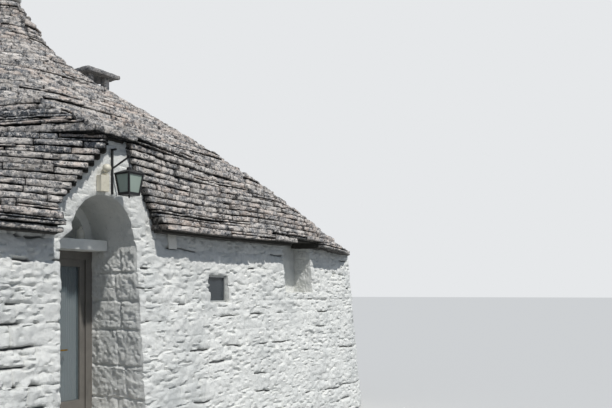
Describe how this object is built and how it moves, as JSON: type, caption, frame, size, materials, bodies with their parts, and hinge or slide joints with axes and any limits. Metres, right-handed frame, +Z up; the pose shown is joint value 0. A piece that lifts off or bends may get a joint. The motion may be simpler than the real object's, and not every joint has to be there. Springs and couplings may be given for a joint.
{
  "type": "trullo house",
  "caption": "Whitewashed dry-stone house of rounded square plan under a tall conical roof of stone slabs, with a gabled arched doorway, double door, niche, lantern and chimney.",
  "frame": {"origin": "centre of the house's footprint on the ground", "axes": "+Z up; -Y out of the front wall with the door; +X along the front wall to the right as seen from outside"},
  "size_m": [7.2768, 7.3788, 5.75],
  "materials": {
    "whitewashed_stone": "rough limewash over rubble",
    "limestone_slab": "split weathered limestone",
    "paving_stone": "worn limestone",
    "joinery_wood": "painted greige",
    "window_frame_paint": "light grey paint",
    "clear_glass": "clear",
    "lantern_glass": "frosted",
    "curtain_cloth": "white cotton",
    "wrought_iron": "black paint",
    "handle_brass": "worn brass",
    "lamp_plastic": "cream moulded",
    "glazed_tile": "glazed ceramic"
  },
  "bodies": {
    "house": {"floor": "paving_stone", "threshold": "paving_stone", "front_wall_left": "whitewashed_stone", "front_wall_right": "whitewashed_stone", "right_wall": "whitewashed_stone", "back_wall": "whitewashed_stone", "left_wall": "whitewashed_stone", "front_right_corner": "whitewashed_stone", "back_right_corner": "whitewashed_stone", "back_left_corner": "whitewashed_stone", "front_left_corner": "whitewashed_stone", "door_gable": "whitewashed_stone", "overdoor_slab": "whitewashed_stone", "overdoor_vase": "whitewashed_stone", "eaves_front_left": "limestone_slab", "eaves_front_middle": "limestone_slab", "eaves_front_right": "limestone_slab", "eaves_right": "limestone_slab", "eaves_back": "limestone_slab", "eaves_left": "limestone_slab", "roof_lower_courses": "limestone_slab", "roof_middle_courses": "limestone_slab", "roof_upper_courses": "limestone_slab", "roof_top_courses": "limestone_slab", "gable_roof_left": "limestone_slab", "gable_roof_right": "limestone_slab", "gable_cap_slab": "limestone_slab", "pinnacle_neck": "limestone_slab", "pinnacle_disc": "limestone_slab", "chimney_stack": "limestone_slab", "chimney_legs": "limestone_slab", "chimney_cap": "limestone_slab", "window_frame": "window_frame_paint", "window_glass": "clear_glass", "door_frame": "joinery_wood", "lantern_bracket": "wrought_iron", "lantern_frame": "wrought_iron", "lantern_glass": "lantern_glass", "globe_lamp": "lamp_plastic", "number_plate": "glazed_tile"},
    "left_door": {"left_leaf": "joinery_wood", "left_leaf_glass": "clear_glass", "left_curtain": "curtain_cloth"},
    "right_door": {"right_leaf": "joinery_wood", "right_leaf_glass": "clear_glass", "right_curtain": "curtain_cloth", "door_handle": "handle_brass"}
  },
  "joints": [
    {"name": "left_door_hinge", "type": "hinge", "parent": "house", "child": "left_door", "pos_m": [-1.92, -2.7798, 0.9], "axis": [0, 0, 1], "range_deg": [0, 90]},
    {"name": "right_door_hinge", "type": "hinge", "parent": "house", "child": "right_door", "pos_m": [-1.14, -2.7798, 0.9], "axis": [0, 0, -1], "range_deg": [0, 90]}
  ]
}
